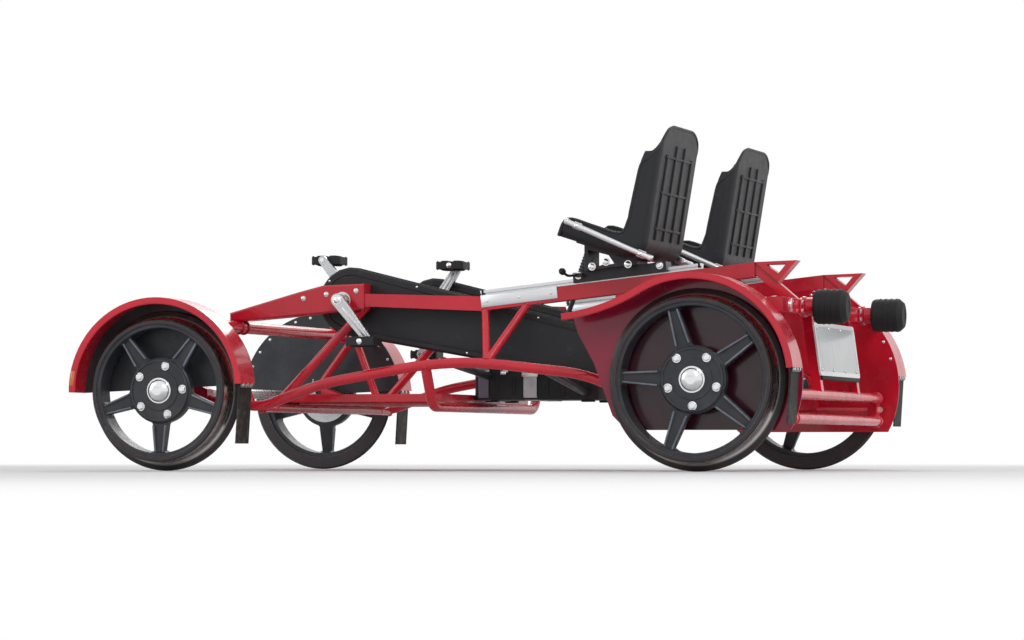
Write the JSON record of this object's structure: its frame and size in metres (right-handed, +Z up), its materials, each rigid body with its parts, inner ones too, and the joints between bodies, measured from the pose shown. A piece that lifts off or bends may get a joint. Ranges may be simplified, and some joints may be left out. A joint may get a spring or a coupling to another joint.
{
  "type": "pedal rail car",
  "caption": "Side-by-side pedal rail car on four flanged spoked wheels, with arched fenders, bucket seats on slide rails, cranks, floor pan and rear buffers.",
  "frame": {"origin": "centre of the footprint at the lowest point of the wheel flanges", "axes": "+X forward, +Y to the left, +Z up; rail tops are at z = 0.025"},
  "size_m": [2.405, 1.58, 1.05],
  "materials": {
    "red_paint": "glossy signal red paint, slightly weathered",
    "black_metal": "satin black painted cast metal",
    "tyre_black": "dark flanged steel ring, worn bright on the tread",
    "black_plastic": "satin black moulded plastic with a fine grain",
    "rubber_black": "matt black rubber",
    "pad_vinyl": "black upholstery vinyl with sewn channels",
    "steel_bright": "bright turned steel",
    "chrome_cap": "polished chrome",
    "rail_aluminium": "polished aluminium",
    "plate_white": "blank white enamelled plate with a pale raised border"
  },
  "bodies": {
    "frame": {"boom_struts": "red_paint", "brake_lever": "black_metal", "buffer_beam": "red_paint", "buffers": "rubber_black", "chain_cases": "black_plastic", "crank_booms": "red_paint", "equipment_arms": "black_metal", "equipment_box": "black_plastic", "fins": "red_paint", "floor_pan": "red_paint", "front_axle_boxes": "black_metal", "front_fender_liners": "black_plastic", "front_fenders": "red_paint", "front_lower_crossmember": "red_paint", "front_mudflaps": "rubber_black", "front_stays": "red_paint", "front_upper_crossmember": "red_paint", "mid_crossmember": "red_paint", "rear_axle_boxes": "black_metal", "rear_fender_liners": "black_plastic", "rear_fenders": "red_paint", "rear_ladder": "red_paint", "rear_mudflaps": "rubber_black", "rear_plate": "plate_white", "rear_posts": "red_paint", "rear_stays": "red_paint", "rear_uprights": "red_paint", "seat_beams": "red_paint", "seat_crossbar": "red_paint", "seat_rails": "rail_aluminium", "seat_stanchions": "red_paint", "seat_struts": "red_paint", "side_chords": "red_paint"},
    "front_wheelset": {"front_axle": "steel_bright", "front_hub_caps": "chrome_cap", "front_tyres": "tyre_black", "front_wheels": "black_metal"},
    "rear_wheelset": {"rear_axle": "steel_bright", "rear_hub_caps": "chrome_cap", "rear_tyres": "tyre_black", "rear_wheels": "black_metal"},
    "left_crank": {"left_crankset": "rail_aluminium"},
    "right_crank": {"right_crankset": "rail_aluminium"},
    "left_outer_pedal": {"left_outer_pedal": "black_plastic"},
    "left_inner_pedal": {"left_inner_pedal": "black_plastic"},
    "right_outer_pedal": {"right_outer_pedal": "black_plastic"},
    "right_inner_pedal": {"right_inner_pedal": "black_plastic"},
    "left_seat": {"left_seat_base": "black_metal", "left_seat_pads": "pad_vinyl", "left_seat_shell": "black_plastic", "left_seat_side_rails": "rail_aluminium"},
    "right_seat": {"right_seat_base": "black_metal", "right_seat_pads": "pad_vinyl", "right_seat_shell": "black_plastic", "right_seat_side_rails": "rail_aluminium"}
  },
  "joints": [
    {"name": "front_axle_spin", "type": "hinge", "parent": "frame", "child": "front_wheelset", "pos_m": [0.912, 0, 0.25], "axis": [0, 1, 0], "continuous": true},
    {"name": "rear_axle_spin", "type": "hinge", "parent": "frame", "child": "rear_wheelset", "pos_m": [-0.808, 0, 0.275], "axis": [0, 1, 0], "continuous": true},
    {"name": "left_crank_spin", "type": "hinge", "parent": "frame", "child": "left_crank", "pos_m": [0.402, 0.45, 0.535], "axis": [0, 1, 0], "continuous": true},
    {"name": "right_crank_spin", "type": "hinge", "parent": "frame", "child": "right_crank", "pos_m": [0.402, -0.45, 0.535], "axis": [0, 1, 0], "continuous": true},
    {"name": "left_outer_pedal_spin", "type": "hinge", "parent": "left_crank", "child": "left_outer_pedal", "pos_m": [0.29376, 0.586, 0.40133], "axis": [0, 1, 0], "continuous": true},
    {"name": "left_inner_pedal_spin", "type": "hinge", "parent": "left_crank", "child": "left_inner_pedal", "pos_m": [0.51024, 0.314, 0.66867], "axis": [0, 1, 0], "continuous": true},
    {"name": "right_outer_pedal_spin", "type": "hinge", "parent": "right_crank", "child": "right_outer_pedal", "pos_m": [0.49568, -0.586, 0.39075], "axis": [0, 1, 0], "continuous": true},
    {"name": "right_inner_pedal_spin", "type": "hinge", "parent": "right_crank", "child": "right_inner_pedal", "pos_m": [0.30832, -0.314, 0.67925], "axis": [0, 1, 0], "continuous": true},
    {"name": "left_seat_slide", "type": "slide", "parent": "frame", "child": "left_seat", "axis": [-0.9944, 0, 0.1056], "range_m": [-0.12, 0.06]},
    {"name": "right_seat_slide", "type": "slide", "parent": "frame", "child": "right_seat", "axis": [-0.9944, 0, 0.1056], "range_m": [-0.12, 0.06]}
  ]
}
